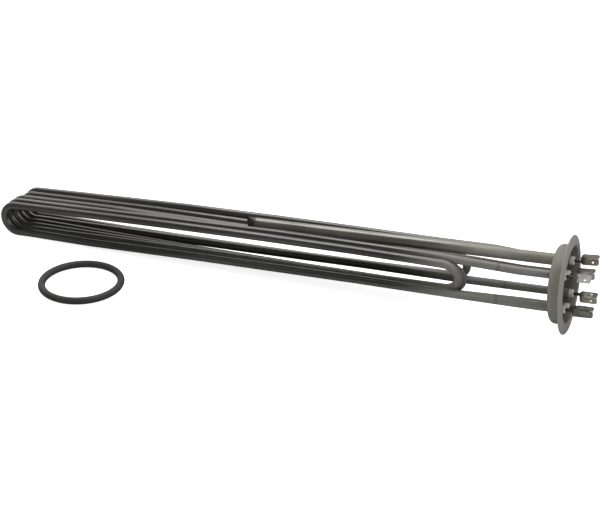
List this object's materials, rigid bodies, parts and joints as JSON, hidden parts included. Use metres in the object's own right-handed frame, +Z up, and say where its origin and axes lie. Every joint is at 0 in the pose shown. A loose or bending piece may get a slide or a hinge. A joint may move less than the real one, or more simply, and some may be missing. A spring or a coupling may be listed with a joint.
{
  "type": "immersion heating element",
  "caption": "Tubular immersion heater of a dishwasher: bundled heating tubes and a sensor pocket on a pressed cup flange with double tabs, and its O-ring.",
  "frame": {"origin": "on the flange's axis, in the middle of the rim's outer edge", "axes": "+X along the heater towards its terminals, level; +Z up; the heater lies on its rim and far loops, its axis rising 3.3 degrees towards +X"},
  "size_m": [0.5071, 0.1496, 0.0754],
  "materials": {
    "flange_steel": "matt pressed stainless sheet",
    "sheath_steel": "stainless tube, darkened by annealing and use",
    "pocket_steel": "thin stainless tube with an olive heat tint",
    "braze": "nickel braze, satin",
    "magnesia": "packed magnesia powder",
    "heating_wire": "coiled resistance wire",
    "pin_steel": "bright drawn steel",
    "bead_ceramic": "unglazed ceramic",
    "tab_metal": "plated steel sheet",
    "ring_rubber": "matt black rubber"
  },
  "bodies": {
    "root": {"flange_cup": "flange_steel", "sensor_pocket": "pocket_steel", "pocket_braze": "braze", "front_sheath": "sheath_steel", "front_insulation": "magnesia", "front_coil": "heating_wire", "middle_sheath": "sheath_steel", "middle_insulation": "magnesia", "middle_coil": "heating_wire", "rear_sheath": "sheath_steel", "rear_insulation": "magnesia", "rear_coil": "heating_wire", "front_low_braze": "braze", "front_low_pin": "pin_steel", "front_low_bead": "bead_ceramic", "front_low_tab": "tab_metal", "front_high_braze": "braze", "front_high_pin": "pin_steel", "front_high_bead": "bead_ceramic", "front_high_tab": "tab_metal", "middle_low_braze": "braze", "middle_low_pin": "pin_steel", "middle_low_bead": "bead_ceramic", "middle_low_tab": "tab_metal", "middle_high_braze": "braze", "middle_high_pin": "pin_steel", "middle_high_bead": "bead_ceramic", "middle_high_tab": "tab_metal", "rear_low_braze": "braze", "rear_low_pin": "pin_steel", "rear_low_bead": "bead_ceramic", "rear_low_tab": "tab_metal", "rear_high_braze": "braze", "rear_high_pin": "pin_steel", "rear_high_bead": "bead_ceramic", "rear_high_tab": "tab_metal", "seal_ring": "ring_rubber"}
  },
  "joints": []
}
